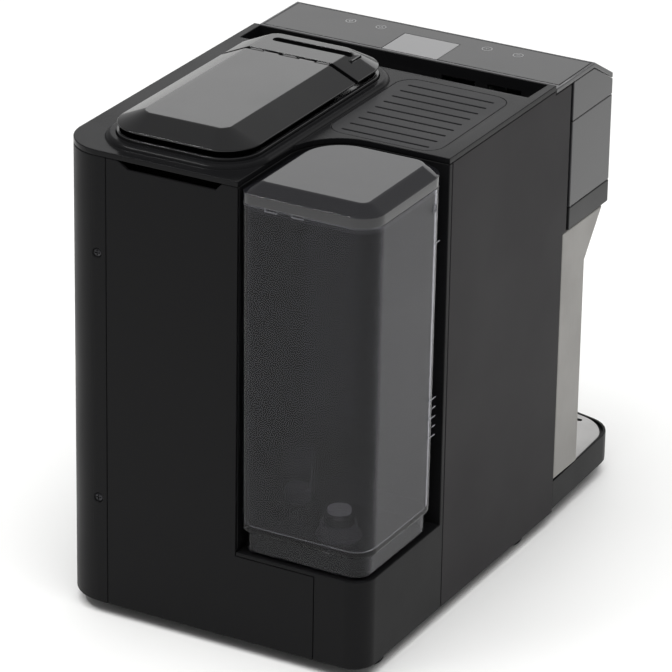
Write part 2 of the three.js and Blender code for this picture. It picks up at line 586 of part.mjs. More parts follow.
// ---- drip tray and waste container ----------------------------------------------------------------
function dripTray() {
  const { bottom, top, rear } = TRAY;
  const body = prism(trayOutline(0, rear), bottom, top);
  const cavity = prism(trayOutline(5, BAY_FRONT - 2.5), bottom + 3, top + 5);
  const seat = prism(trayOutline(2.4, BAY_FRONT - GAP), top - 2.2, top + 5);
  const tongue = box(-55, 55, rear - 1, 42, 15, 34.4);
  const pocket = box(-52, 52, -112, 39, 18, 60);
  const tray = cut(join(body, tongue), cavity, seat, pocket, box(-200, 200, -78, 60, 0, 14.9));
  add('drip_tray', tray, SATIN_BLACK);

  let plate = prism(trayOutline(2.8, BAY_FRONT - 0.8), top - 1.9, top);
  for (let row = 0; row < 5; row += 1) {
    for (let column = 0; column < 6; column += 1) {
      const x = -92 + column * 32;
      const y = -186 + row * 13;
      const float = row === 4 && (column === 2 || column === 3);
      if (!float) plate = cut(plate, prism(rounded(x, x + 24, y, y + 4, 1.99), 0, 60, 1));
    }
  }
  plate = cut(plate, rod(0, -128, 0, 60, 6, 6, 16));
  add('drip_plate', plate, STEEL);
  add('tray_float', join(rod(0, -128, 14.6, 22, 5.4, 5.4, 16), rod(0, -128, 21, 34.6, 3, 3, 12)),
    finish(0xb02a20, 0.5));

  const container = join(box(-53, 53, -114, 36, 35, 118), box(-55.4, 55.4, BAY_FRONT, -113, 35.8, 121.4));
  const inside = box(-50.8, 50.8, -111, 33.8, 37.2, 160);
  const grip = box(-22, 22, BAY_FRONT - 1, -114.6, 100, 113);
  add('pod_waste_container', cut(container, inside, grip), SATIN_BLACK);
}

// ---- inner works ----------------------------------------------------------------------------------
function innerFrame() {
  const z0 = DECK.top - DECK.thick;
  const deck = cut(box(-113, 113, -76, 182, z0, DECK.top), prism(bayOutline(BAY.wall + 1), 0, 400),
    rod(-70, 40, 100, 200, 10), rod(96, 40, 100, 200, 10));
  const legs = [[-112, -76], [104, -76], [-112, 68],
    [104, 170]].map(([x, y]) => box(x, x + 8, y, y + 8, 13.4, z0 + 1));
  add('inner_frame', join(deck, ...legs), ALUMINIUM);
}

function waterWorks() {
  const pump = join(rodY(86, 48, 66, 132, 21, 20), box(70, 102, 80, 118, 30, 66),
    rodY(86, 48, 128, 148, 7), rodY(86, 48, 50, 70, 6));
  add('pump', pump, BRASS);
  const saddle = join(box(62, 110, 70, 76, 13.4, 52), box(62, 110, 122, 128, 13.4, 52),
    box(62, 110, 70, 128, 13.4, 17));
  add('pump_mount', cut(saddle, rodY(86, 48, 60, 140, 21.4, 20)), RUBBER);
  const meter = join(rod(-84, 40, 13.4, 36, 16), rodY(-84, 26, 54, 64, 3.6, 10),
    rodY(-84, 26, 16, 26, 3.6, 10));
  add('flow_meter', meter, WHITE_PLASTIC);
  const block = join(box(-46, 46, -66, 24, 168, 206), box(-30, 30, 22, 32, 176, 198),
    rodY(-30, 190, -74, -60, 3.6, 10),
    box(-40, -32, -60, -50, DECK.top + GAP, 170), box(32, 40, -60, -50, DECK.top + GAP, 170),
    box(-40, -32, 8, 18, DECK.top + GAP, 170), box(32, 40, 8, 18, DECK.top + GAP, 170));
  add('thermoblock', block, ALUMINIUM);
  const radius = 3;
  add('suction_hose', hose([[VALVE.x, VALVE.y, 47.6], [VALVE.x, 149, 34], [-76, 110, 24], [-83, 80, 26],
    [-84, 64.4, 26]], radius), HOSE);
  add('pump_hose', hose([[-84, 15.6, 26], [-84, 6, 27], [-84, 0, 36], [-78, 6, 56], [-66, 30, 90],
    [-40, 56, 120],
    [10, 60, 120], [60, 50, 106], [84, 34, 74], [86, 40, 52], [86, 45, 48], [86, 49.4, 48]], radius), HOSE);
  add('boiler_hose', hose([[86, 148.4, 48], [86, 160, 48], [96, 166, 60], [98, 140, 100], [97, 60, 140],
    [96, 40, 160], [92, 38, 185], [60, 40, 190], [30.4, 36, 187]], radius), HOSE);
  add('brew_hose', hose([[-30, -74.6, 190], [-30, -79, 190.5], [-36, -83, 200], [-48, -84, 218],
    [-51, -84, 240],
    [-52, -90, 266], [-50, -98, 296], [-44, -102, 316], [-30, -112, 323.4], [-14, -120, 324],
    [0, -122, 323.8]], radius), HOSE);
}

function electronics() {
  const main = join(box(107, 109, -60, 60, 176, 300), box(96, 108, -40, -10, 200, 230),
    box(98, 108, 10, 40, 240, 268),
    box(100, 113, -50, -44, DECK.top + GAP, 180), box(100, 113, 44, 50, DECK.top + GAP, 180));
  add('control_board', main, BOARD_GREEN);
  const power = join(box(-103, -62, -70, -6, 18, 20), box(-100, -80, -64, -38, 19, 44),
    box(-76, -66, -34, -14, 19, 40),
    box(-102, -96, -68, -62, 13.4, 19), box(-72, -66, -14, -8, 13.4, 19));
  add('power_board', power, BOARD_GREEN);
}

feet();
basePlate();
sidePanels();
rearPanel();
tankBay();
waterTank();
tankLid();
topCover();
podBin();
binLid();
head();
controlPanel();
bayColumn();
spout();
podUnit();
dripTray();
innerFrame();
waterWorks();
electronics();

export default machine;
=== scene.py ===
"""Looks of a pod coffee machine, built around its packed CAD frame.

Metres, +Z up, the front faces -Y. Sizes in the code below are millimetres unless a name ends in _m, and MM turns
them into metres. Each operator makes one piece or one group of like pieces.
"""

import math

import bmesh
import bpy
from bpy.props import FloatProperty, FloatVectorProperty, IntProperty, PointerProperty
from mathutils import Matrix, Vector


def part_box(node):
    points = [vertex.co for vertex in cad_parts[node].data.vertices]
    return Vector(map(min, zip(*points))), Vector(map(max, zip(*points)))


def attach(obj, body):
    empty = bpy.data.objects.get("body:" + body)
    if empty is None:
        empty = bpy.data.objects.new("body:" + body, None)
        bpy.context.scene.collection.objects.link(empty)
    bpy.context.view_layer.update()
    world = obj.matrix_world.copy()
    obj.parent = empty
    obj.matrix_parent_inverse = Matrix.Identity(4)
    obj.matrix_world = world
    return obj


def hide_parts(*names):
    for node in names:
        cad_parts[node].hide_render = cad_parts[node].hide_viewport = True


bl_info = {
    "name": "Pod coffee machine",
    "version": (1, 0, 0),
    "blender": (4, 5, 0),
    "location": "3D View > Sidebar > Coffee machine",
    "description": "Builds the visible pieces of a pod coffee machine around its CAD frame",
    "category": "Object",
}

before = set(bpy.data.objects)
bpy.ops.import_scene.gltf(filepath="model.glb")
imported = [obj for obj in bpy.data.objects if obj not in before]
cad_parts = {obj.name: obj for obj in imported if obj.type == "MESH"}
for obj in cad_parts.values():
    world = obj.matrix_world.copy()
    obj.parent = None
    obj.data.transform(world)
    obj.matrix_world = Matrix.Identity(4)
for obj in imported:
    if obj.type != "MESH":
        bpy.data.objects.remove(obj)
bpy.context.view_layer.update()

MM = 0.001
SHARP = math.radians(48)  # edges sharper than this stay hard in shading


# ---- colours and nodes --------------------------------------------------------------------------------
def srgb_parts(code):
    """The red, green and blue of an sRGB hex colour, such as "3a3a3c", from 0 to 1."""
    return [int(code[i:i + 2], 16) / 255 for i in (0, 2, 4)]


def linear(code):
    """sRGB hex colour as linear RGBA."""
    return (*[c / 12.92 if c <= 0.04045 else ((c + 0.055) / 1.055) ** 2.4 for c in srgb_parts(code)], 1.0)


def add_node(tree, kind, inputs=None, **settings):
    """Adds a node: settings are its properties, and inputs are values or sockets to link, by name or number."""
    made = tree.nodes.new(kind)
    for name, value in settings.items():
        setattr(made, name, value)
    for name, value in (inputs or {}).items():
        if isinstance(value, bpy.types.NodeSocket):
            tree.links.new(value, made.inputs[name])
        else:
            made.inputs[name].default_value = value
    return made


def new_material(name):
    """An empty material and its tree, with an output node."""
    material = bpy.data.materials.new(name)
    material.use_nodes = True
    material.node_tree.nodes.clear()
    return material, material.node_tree


def ramp(tree, factor, low, high, start=0.0, end=1.0):
    """Maps a factor onto a range."""
    return add_node(tree, "ShaderNodeMapRange",
                    {"Value": factor, "From Min": start, "From Max": end, "To Min": low, "To Max": high})


def moulded(name, colour, rough, grain, depth, spread=0.03, coat=0.0, specular=0.5, smudge=0.05):
    """Injection-moulded plastic: a fine spark-eroded grain in the skin, cloudy variation in gloss from handling,
    and a little variation in shade. Grain is the size of its cells in millimetres, and depth its height."""
    material, tree = new_material(name)
    where = add_node(tree, "ShaderNodeTexCoord").outputs["Object"]
    cells = add_node(tree, "ShaderNodeTexNoise", {"Vector": where, "Scale": 1 / (grain * MM), "Detail": 3.0,
                                                  "Roughness": 0.6})
    clouds = add_node(tree, "ShaderNodeTexNoise", {"Vector": where, "Scale": 1 / (70 * MM), "Detail": 4.0,
                                                   "Roughness": 0.55})
    shade = add_node(tree, "ShaderNodeMix", {0: ramp(tree, clouds.outputs["Fac"], 0.0, 1.0, 0.3, 0.7).outputs[0],
                                             6: linear(colour), 7: scaled(linear(colour), 1 + spread * 4)},
                     data_type="RGBA")
    gloss = ramp(tree, clouds.outputs["Fac"], rough - smudge, rough + smudge, 0.3, 0.7)
    bump = add_node(tree, "ShaderNodeBump", {"Height": cells.outputs["Fac"], "Strength": 0.35,
                                             "Distance": depth * MM})
    skin = add_node(tree, "ShaderNodeBsdfPrincipled", {
        "Base Color": shade.outputs[2], "Roughness": gloss.outputs[0], "Normal": bump.outputs[0],
        "IOR": 1.53, "Specular IOR Level": specular, "Coat Weight": coat, "Coat Roughness": 0.06})
    add_node(tree, "ShaderNodeOutputMaterial", {"Surface": skin.outputs[0]})
    return material


def scaled(colour, factor):
    """A linear colour made lighter or darker."""
    return (*[min(1.0, c * factor) for c in colour[:3]], colour[3])


def smoked(name, colour, clear, rough, ior=1.57, rim=0.9):
    """Tinted clear polycarbonate or SAN: light passes with a grey tint, and the surface has faint moulding waves.
    The
    edges carry a painted highlight: their colour is mixed towards pale grey in fine lines rim millimetres wide, and
    less light passes there."""
    material, tree = new_material(name)
    where = add_node(tree, "ShaderNodeTexCoord").outputs["Object"]
    waves = add_node(tree, "ShaderNodeTexNoise", {"Vector": where, "Scale": 1 / (45 * MM), "Detail": 2.0})
    haze = add_node(tree, "ShaderNodeTexNoise", {"Vector": where, "Scale": 1 / (9 * MM), "Detail": 5.0})
    bump = add_node(tree, "ShaderNodeBump", {"Height": waves.outputs["Fac"], "Strength": 0.25,
                                             "Distance": 0.4 * MM})
    gloss = ramp(tree, haze.outputs["Fac"], rough, rough + 0.05, 0.35, 0.75)
    # Painted highlight: where the bevel normal turns away from the true normal, the tint is mixed towards pale grey
    # and transmission is cut.
    rounded = add_node(tree, "ShaderNodeBevel", {"Radius": rim * MM}, samples=4)
    flat = add_node(tree, "ShaderNodeNewGeometry").outputs["Normal"]
    turn = add_node(tree, "ShaderNodeVectorMath", {0: rounded.outputs[0], 1: flat}, operation="DOT_PRODUCT")
    edge = ramp(tree, turn.outputs["Value"], 0.8, 0.0, 0.8, 0.97).outputs[0]
    shade = add_node(tree, "ShaderNodeMix", {0: edge, 6: linear(colour), 7: linear("b4b4b8")}, data_type="RGBA")
    passing = ramp(tree, edge, clear, clear * 0.4)
    skin = add_node(tree, "ShaderNodeBsdfPrincipled", {
        "Base Color": shade.outputs[2], "Roughness": gloss.outputs[0], "Normal": bump.outputs[0],
        "IOR": ior, "Transmission Weight": passing.outputs[0]})
    add_node(tree, "ShaderNodeOutputMaterial", {"Surface": skin.outputs[0]})
    return material


def metal(name, colour, rough, streak, along, metallic=1.0, depth=0.01):
    """Metal with a directional finish: streaks are as wide as streak millimetres and run along X, Y or Z."""
    material, tree = new_material(name)
    where = add_node(tree, "ShaderNodeTexCoord").outputs["Object"]
    stretch = [1.0, 1.0, 1.0]
    stretch["XYZ".index(along)] = 0.02
    turned = add_node(tree, "ShaderNodeMapping", {"Vector": where, "Scale": stretch})
    lines = add_node(tree, "ShaderNodeTexNoise", {"Vector": turned.outputs[0], "Scale": 1 / (streak * MM),
                                                  "Detail": 4.0, "Roughness": 0.7})
    clouds = add_node(tree, "ShaderNodeTexNoise", {"Vector": where, "Scale": 1 / (35 * MM), "Detail": 3.0})
    shade = add_node(tree, "ShaderNodeMix", {0: lines.outputs["Fac"], 6: scaled(linear(colour), 0.86),
                                             7: scaled(linear(colour), 1.1)}, data_type="RGBA")
    gloss = ramp(tree, clouds.outputs["Fac"], rough - 0.05, rough + 0.07, 0.3, 0.7)
    bump = add_node(tree, "ShaderNodeBump", {"Height": lines.outputs["Fac"], "Strength": 0.4,
                                             "Distance": depth * MM})
    skin = add_node(tree, "ShaderNodeBsdfPrincipled", {
        "Base Color": shade.outputs[2], "Roughness": gloss.outputs[0], "Normal": bump.outputs[0],
        "Metallic": metallic})
    add_node(tree, "ShaderNodeOutputMaterial", {"Surface": skin.outputs[0]})
    return material


def circuit_board(name):
    """Glass-epoxy board under green solder mask: darker copper tracks on a 5 mm raster show through the lacquer."""
    material, tree = new_material(name)
    where = add_node(tree, "ShaderNodeTexCoord").outputs["Object"]
    tracks = add_node(tree, "ShaderNodeTexBrick", {
        "Vector": where, "Color1": linear("1d5a36"), "Color2": linear("236a40"), "Mortar": linear("3f8a55"),
        "Scale": 1 / (10 * MM), "Mortar Size": 0.03, "Brick Width": 0.9, "Row Height": 0.5})
    bump = add_node(tree, "ShaderNodeBump", {"Height": tracks.outputs["Fac"], "Strength": 0.3,
                                             "Distance": 0.05 * MM})
    skin = add_node(tree, "ShaderNodeBsdfPrincipled", {
        "Base Color": tracks.outputs["Color"], "Roughness": 0.32, "Normal": bump.outputs[0]})
    add_node(tree, "ShaderNodeOutputMaterial", {"Surface": skin.outputs[0]})
    return material


MATERIALS = {}


def make_materials(look):
    """One material for each finish of the machine."""
    MATERIALS.update({
        # Injection-moulded ABS with a satin spark-eroded skin: soft, wide highlights.
        "casing": moulded("moulded_abs_satin_black", look["casing"], 0.4, 0.5, 0.03, specular=0.08),
        # The cover on top has a finer grain, so the bead round the bin draws a clear line of light.
        "cover": moulded("moulded_abs_semigloss_black", look["casing"], 0.24, 0.5, 0.015, specular=0.09),
        # The same skin in a dark grey masterbatch.
        "side": moulded("moulded_abs_satin_grey", look["side"], 0.36, 0.5, 0.025, specular=0.06),
        # Semi-gloss band under the head, one step darker than the head.
        "band": moulded("moulded_abs_semigloss_grey", look["band"], 0.3, 0.6, 0.015, specular=0.18),
        # Polished-tool ABS with a hard clear coat: sharp highlights, faint wipe marks.
        "head": moulded("polished_abs_dark_grey", look["head"], 0.2, 1.4, 0.01, coat=0.12, specular=0.4),
        # Tempered-look acrylic touch plate.
        "touch": moulded("polished_acrylic_touch_plate", look["touch"], 0.14, 2.0, 0.006, coat=0.1, specular=0.3),
        "display": moulded("acrylic_display_window", look["display"], 0.16, 2.0, 0.004, spread=0.01, coat=0.4),
        # Smoked SAN of the tank, seen through two walls, with the painted edge highlight of smoked().
        "tank": smoked("smoked_clear_san_tank", look["tank"], 0.985, 0.03, ior=1.25),
        "tank_lid": smoked("smoked_clear_san_lid", look["tank_lid"], 0.22, 0.04),
        # Deep smoked acrylic lid: almost opaque, with a mirror skin.
        "bin_lid": moulded("smoked_acrylic_lid", look["bin_lid"], 0.12, 2.5, 0.006, coat=0.3, spread=0.01),
        "bin": moulded("smoked_san_bin", look["bin"], 0.2, 1.5, 0.01, coat=0.3),
        "shelf": moulded("moulded_abs_shelf_plate", look["shelf"], 0.42, 0.6, 0.03, specular=0.12),
        # Silver lacquer with fine flake on ABS.
        "silver": metal("silver_flake_lacquer", look["silver"], 0.42, 0.35, "Z", metallic=0.55, depth=0.004),
        # Stainless sheet brushed along its long side, with grit lines drawn 0.3 mm wide to show.
        "steel": metal("brushed_stainless_plate", look["steel"], 0.3, 0.3, "X"),
        "bright": metal("turned_steel", "a9a9ab", 0.25, 0.2, "X"),
        "screw": metal("blackened_screw_steel", "3a3a3c", 0.35, 0.2, "Y"),
        "brass": metal("machined_brass", "b08d4c", 0.28, 0.25, "Y"),
        "aluminium": metal("die_cast_aluminium", "b4b5b7", 0.48, 1.2, "Z", depth=0.05),
        "rubber": moulded("moulded_nitrile_rubber", "17171a", 0.8, 0.8, 0.05, specular=0.3),
        "white": moulded("moulded_acetal_white", "dcd9d2", 0.4, 0.8, 0.02),
        "red": moulded("moulded_polypropylene_red", "b02a20", 0.42, 0.8, 0.02),
        "print": moulded("pad_printed_ink", "8a8a8b", 0.5, 0.3, 0.004),
        "hose": smoked("translucent_silicone_hose", "e6e4de", 0.45, 0.35),
        "board": circuit_board("solder_masked_board"),
    })


# ---- modelling helpers ----------------------------------------------------------------------------------
def plan_face(bm, corners, z, segments=8):
    """A level face over corners given as (x, y, radius), each corner rounded by a vertex bevel."""
    before = set(bm.faces)
    verts = [bm.verts.new((x * MM, y * MM, z * MM)) for x, y, _ in corners]
    bm.faces.new(verts)
    for vert, (_, _, radius) in zip(verts, corners):
        if radius:
            bmesh.ops.bevel(bm, geom=[vert], offset=radius * MM, offset_type="OFFSET", segments=segments,
                            profile=0.5, affect="VERTICES", material=-1)
    return next(f for f in bm.faces if f not in before)


def rectangle(x0, x1, y0, y1, radius):
    """Corners of a rounded rectangle."""
    return [(x0, y0, radius), (x1, y0, radius), (x1, y1, radius), (x0, y1, radius)]


def loft(levels, segments=12):
    """Closed body through plans given as (corners, z). The first and last plan are its end faces, and the plans
    between may turn back down to form a cavity or a groove."""
    bm = bmesh.new()
    caps, rings = [], []
    height = -1000.0
    for corners, z in levels:
        height = z if abs(z - height) > 0.01 else height + 0.01  # a small rise tells the bridge which way is up
        face = plan_face(bm, corners, height, segments)
        caps.append(face)
        rings.append(list(face.edges))
    bmesh.ops.delete(bm, geom=caps[1:-1], context="FACES_ONLY")
    for low, high in zip(rings, rings[1:]):
        bmesh.ops.bridge_loops(bm, edges=low + high)
    bmesh.ops.recalc_face_normals(bm, faces=list(bm.faces))
    return bm


def shrink(corners, inset):
    """A plan with four corners, each moved in by an inset."""
    x_mid = sum(c[0] for c in corners) / 4
    y_mid = sum(c[1] for c in corners) / 4
    return [(x - math.copysign(inset, x - x_mid), y - math.copysign(inset, y - y_mid), max(r - inset, 0.4))
            for x, y, r in corners]


def between(low, high, share):
    """A plan part of the way from one plan to another."""
    return [tuple(a + (b - a) * share for a, b in zip(one, two)) for one, two in zip(low, high)]


def add_block(bm, corners, z0, z1, segments=8):
    """Adds a closed block over a rounded plan."""
    bottom = plan_face(bm, corners, z0, segments)
    made = bmesh.ops.extrude_face_region(bm, geom=[bottom])["geom"]
    bmesh.ops.translate(bm, verts=[g for g in made if isinstance(g, bmesh.types.BMVert)],
                        vec=(0, 0, (z1 - z0) * MM))


def lathe(bm, points, place, axis=(0, 0, 1), steps=40, ring=False):
    """Closed body spun from a profile of (radius, height) points. The profile starts and ends on the axis, or for
    a ring it stays clear of the axis and closes on itself."""
    toward = Vector(axis).normalized()
    side = toward.orthogonal().normalized()
    start = Vector(place) * MM
    verts = [bm.verts.new(start + side * (r * MM) + toward * (h * MM)) for r, h in points]
    edges = [bm.edges.new(pair) for pair in zip(verts, verts[1:] + (verts[:1] if ring else []))]
    bmesh.ops.spin(bm, geom=verts + edges, cent=start, axis=toward, angle=math.tau, steps=steps,
                   use_merge=True, use_duplicate=False)
    bmesh.ops.remove_doubles(bm, verts=list(bm.verts), dist=1e-6)


def block(bm, low, high):
    """Box between two corners."""
    middle = [(a + b) / 2 * MM for a, b in zip(low, high)]
    size = [(b - a) * MM for a, b in zip(low, high)]
    made = bmesh.ops.create_cube(bm, size=1.0)
    bmesh.ops.scale(bm, vec=size, verts=made["verts"])
    bmesh.ops.translate(bm, vec=middle, verts=made["verts"])


def cut_at(bm, y, keep_rear):
    """Cuts a closed body at a plane across Y and closes the cut."""
    bmesh.ops.bisect_plane(bm, geom=list(bm.verts) + list(bm.edges) + list(bm.faces), dist=1e-7,
                           plane_co=(0, y * MM, 0), plane_no=(0, 1, 0), clear_inner=keep_rear,
                           clear_outer=not keep_rear)
    rim = [e for e in bm.edges if len(e.link_faces) == 1]
    bmesh.ops.edgeloop_fill(bm, edges=rim)


def to_object(bm, name):
    """Object of a finished bmesh, at the origin."""
    bmesh.ops.recalc_face_normals(bm, faces=list(bm.faces))
    mesh = bpy.data.meshes.new(name)
    bm.to_mesh(mesh)
    bm.free()
    made = bpy.data.objects.new(name, mesh)
    bpy.context.scene.collection.objects.link(made)
    return made


def carve(obj, cutter_bm, operation="DIFFERENCE"):
    """Cuts, or joins, a closed body into obj with an applied Boolean modifier."""
    cutter = to_object(cutter_bm, "cutter")
    modifier = obj.modifiers.new("carve", "BOOLEAN")
    modifier.operation = operation
    modifier.solver = "EXACT"
    modifier.object = cutter
    bpy.context.view_layer.update()
    result = bpy.data.meshes.new_from_object(obj.evaluated_get(bpy.context.evaluated_depsgraph_get()))
    obj.modifiers.clear()
    old, obj.data = obj.data, result
    bpy.data.meshes.remove(old)
    mesh = cutter.data
    bpy.data.objects.remove(cutter)
    bpy.data.meshes.remove(mesh)


def soften(obj, width, segments=2, angle=40):
    """Merges flat pieces of a carved mesh and rounds its sharp edges."""
    bm = bmesh.new()
    bm.from_mesh(obj.data)
    bmesh.ops.remove_doubles(bm, verts=list(bm.verts), dist=2e-6)
    bmesh.ops.dissolve_limit(bm, angle_limit=math.radians(0.5), verts=list(bm.verts), edges=list(bm.edges))
    sharp = [e for e in bm.edges if len(e.link_faces) == 2 and e.calc_face_angle(0) > math.radians(angle)]
    bmesh.ops.bevel(bm, geom=sharp, offset=width * MM, offset_type="OFFSET", segments=segments, profile=0.5,
                    affect="EDGES", material=-1, clamp_overlap=False)
    bm.to_mesh(obj.data)
    bm.free()


def settle(obj, body, material, slot, *nodes):
    """Gives a piece its finish and smooth shading, hangs it under its CAD body and hides the CAD nodes it takes the
    place of.
    """
    obj.data.materials.clear()
    obj.data.materials.append(MATERIALS[material])
    obj.data.shade_smooth()
    obj.data.set_sharp_from_angle(angle=SHARP)
    weigh = obj.modifiers.new("weighted normals", "WEIGHTED_NORMAL")
    weigh.keep_sharp = True
    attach(obj, body)
    if nodes:
        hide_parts(*nodes)
    return obj


def refine(node, name, body, material, slot, width=0.6, segments=2, angle=40):
    """A CAD shell with its edges broken, as a moulding or casting has them."""
    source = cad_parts[node]
    mesh = source.data.copy()
    obj = bpy.data.objects.new(name, mesh)
    bpy.context.scene.collection.objects.link(obj)
    soften(obj, width, segments, angle)
    return settle(obj, body, material, slot, node)


# ---- settings ---------------------------------------------------------------------------------------------
def tint(name, description, default):
    """A colour property held as the three sRGB parts of a hex code."""
    return FloatVectorProperty(name=name, description=description, subtype="COLOR_GAMMA", size=3, min=0, max=1,
                               default=srgb_parts(default))


def hex_of(parts):
    """Hex code of a colour property."""
    return "".join(f"{round(c * 255):02x}" for c in parts)


class FinishSettings(bpy.types.PropertyGroup):
    """Colours of the main mouldings."""
    casing: tint("Casing", "Rear, right side, base and cover", "111112")
    side: tint("Side panel", "Left side panel", "1d1b1d")
    band: tint("Band", "Semi-gloss band under the head", "202021")
    head: tint("Head", "Glossy head and panel frame", "2a2a2c")
    touch: tint("Touch plate", "Plate with the touch icons", "19191a")
    display: tint("Display", "Display window", "5c5c5d")
    tank: tint("Tank", "Tint of the smoked tank", "a3a3aa")
    tank_lid: tint("Tank lid", "Tint of the tank lid", "1b1b1e")
    bin_lid: tint("Bin lid", "Hinged lid and its front piece", "0c0c0d")
    bin: tint("Pod bin", "Compartment under the lid", "161617")
    shelf: tint("Cup shelf", "Slotted plate of the cup shelf", "29292a")
    silver: tint("Column", "Silver column behind the cup bay", "8e8c89")
    steel: tint("Drip plate", "Brushed plate of the tray", "b8b7b6")


class TankSettings(bpy.types.PropertyGroup):
    """Sizes of the water tank."""
    wall: FloatProperty(name="Wall", description="Wall thickness", default=2.2 * MM, unit="LENGTH")
    draft: FloatProperty(name="Draft", description="How much narrower each side is at the foot",
                         default=1.1 * MM, unit="LENGTH")
    foot_step: FloatProperty(name="Foot step", description="How far the skirt stands back under the wall",
                             default=3.0 * MM, unit="LENGTH")
    lid_band: FloatProperty(name="Lid band", description="Height of the lid's upright band",
                            default=7.0 * MM, unit="LENGTH")


class ShelfSettings(bpy.types.PropertyGroup):
    """Sizes of the cup shelf."""
    slots: IntProperty(name="Slots", description="Number of slots in the plate", default=9, min=1)
    pitch: FloatProperty(name="Pitch", description="Distance between slots", default=11.85 * MM, unit="LENGTH")
    slot_width: FloatProperty(name="Slot width", description="Width of a slot", default=2.0 * MM, unit="LENGTH")


class PanelSettings(bpy.types.PropertyGroup):
    """Sizes of the touch icons."""
    ring: FloatProperty(name="Ring", description="Radius of an icon's ring", default=3.8 * MM, unit="LENGTH")
    line: FloatProperty(name="Line", description="Width of the printed lines", default=0.5 * MM, unit="LENGTH")


class StudioSettings(bpy.types.PropertyGroup):
    """Light and ground of the stage."""
    world: FloatProperty(name="Room light", description="Strength of the even room light", default=0.35, min=0)
    key: FloatProperty(name="Key light", description="Power of the large soft light", default=110.0, unit="POWER")
    front: FloatProperty(name="Front light", description="Power of the wide light beyond the front",
                         default=14.5, unit="POWER")
    strip: FloatProperty(name="Strip light", description="Power of the strip that draws the upper edges",
                         default=12.0, unit="POWER")


# ---- places from the frame, and plans shared by several pieces ---------------------------------------------
def spans(node):
    """Lowest and highest X, Y and Z of a CAD node, as three pairs in millimetres."""
    return [(round(low / MM, 2), round(high / MM, 2)) for low, high in zip(*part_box(node))]


def centre(node):
    """Middle of a CAD node's box, in millimetres."""
    return tuple(round((low + high) / 2, 2) for low, high in spans(node))


TANK_X, TANK_Y, _ = spans("water_tank")
VALVE, FLOAT = centre("tank_valve")[:2], centre("tank_float")[:2]
GLAND, TRAY_FLOAT = centre("cord_gland")[:2], centre("tray_float")[:2]
HINGE_Y, HINGE_Z = centre("lid_hinge_rod")[1:]
LID_X, (_, LID_REAR), (LID_BOTTOM, LID_TOP) = spans("bin_lid")
LID_Y = (spans("bin_front_cover")[1][0], LID_REAR)
LID_GAP = 2.2  # from the hinge line to the lid, and to the fixed piece
LID_END_WALL = 2.4
LUG_REACH = 4.2  # from the hinge line to where a lug ends in the end wall
LUG_RADIUS = 1.9
TANK_LID_SEAT = 331.3  # underside of the tank lid's band, just above the rim of the walls
TRAY_BOW = 400.0  # radius of the tray's bowed front
TRAY_CORNER = 26.0
TRAY_TAPER = 3.5  # how much further in each front corner is than the rear one


def tank_plan(inset):
    """Corners of the tank's outline, shrunk by an inset."""
    (x0, x1), (y0, y1) = TANK_X, TANK_Y
    return [(x0 + inset, y0 + inset, 21.5 - inset), (x1 - inset, y0 + inset, 38.5 - inset),
            (x1 - inset, y1 - inset, 9 - inset / 2), (x0 + inset, y1 - inset, 17 - inset)]


def tray_plan(inset, rear):
    """Corners of the tray's outline, with its bowed front."""
    (left, right), (front, _), _ = spans("drip_tray")
    half = right - TRAY_TAPER - inset

    def bow(x):
        """Y of the front edge at an X."""
        return front + inset + TRAY_BOW - math.sqrt(TRAY_BOW ** 2 - x ** 2)

    arc = [(x, bow(x), 0) for x in range(-80, 81, 10)]
    return [(left + inset, rear, 0), (-half, bow(half), TRAY_CORNER - inset), *arc,
            (half, bow(half), TRAY_CORNER - inset), (right - inset, rear, 0)]


def lid_blank(bottom, edge, top, inset, rounded=False):
    """Closed body of the whole bin lid: an upright skirt, then flanks that slope in to the flat top. The rounded
    one has its edges broken."""
    (x0, x1), (y0, y1) = LID_X, LID_Y
    low = shrink(rectangle(x0, x1, y0, y1, 26), inset)
    high = shrink(rectangle(x0 + 20, x1 - 20, y0 + 16, y1 - 16, 8), inset)
    if rounded:
        rise = top - edge
        levels = [(shrink(low, 0.5), bottom), (low, bottom + 0.4), (low, edge - 0.2),
                  (between(low, high, 0.02), edge + 0.25), (between(low, high, 0.93), edge + rise * 0.93),
                  (between(low, high, 0.985), top - 0.15), (shrink(high, 0.5), top - 0.02),
                  (shrink(high, 1.6), top)]
    else:
        levels = [(low, bottom), (low, edge), (high, top)]
    return loft(levels, 14)


# ---- operators ----------------------------------------------------------------------------------------------
class MachineOperator(bpy.types.Operator):
    """Common part of the operators that build pieces."""
    bl_options = {"REGISTER", "UNDO"}

    def build(self, scene):
        raise NotImplementedError(self.bl_idname)

    def execute(self, context):
        self.build(context.scene)
        return {"FINISHED"}


class MACHINE_OT_finishes(MachineOperator):
    """Makes the material of each finish"""
    bl_idname = "machine.finishes"
    bl_label = "Finishes"

    def build(self, scene):
        look = scene.machine_finish
        make_materials({name: hex_of(getattr(look, name)) for name in FinishSettings.__annotations__})


